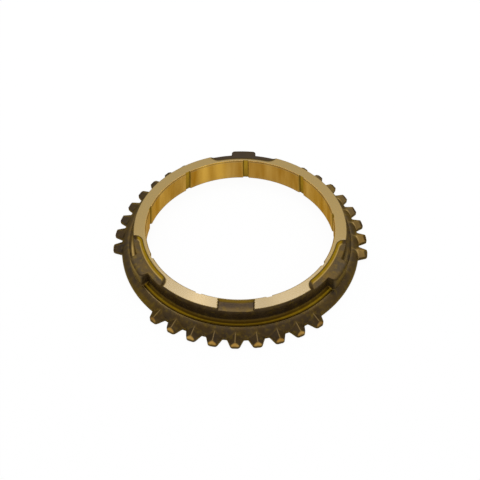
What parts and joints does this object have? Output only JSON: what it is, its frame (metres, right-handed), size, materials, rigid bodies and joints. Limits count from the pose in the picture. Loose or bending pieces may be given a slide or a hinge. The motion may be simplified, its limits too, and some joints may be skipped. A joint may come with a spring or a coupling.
{
  "type": "synchronizer ring",
  "caption": "Brass synchronizer ring: grooved conical friction bore, lugs in shallow pockets, a notch and groups of pointed dog teeth that block a shift sleeve until gear speeds match.",
  "frame": {"origin": "on the ring's axis, in the plane of the flat gear-side face", "axes": "+Z along the axis from the gear-side face to the hub-side face, +Y through the lug opposite the notch"},
  "size_m": [0.0806, 0.0779, 0.0085],
  "materials": {
    "brass": "dark brown forged skin, with the hub-side face, the bore, the tooth tips and the gear-side face turned bright"
  },
  "bodies": {
    "root": {"synchronizer_ring": "brass"}
  },
  "joints": []
}
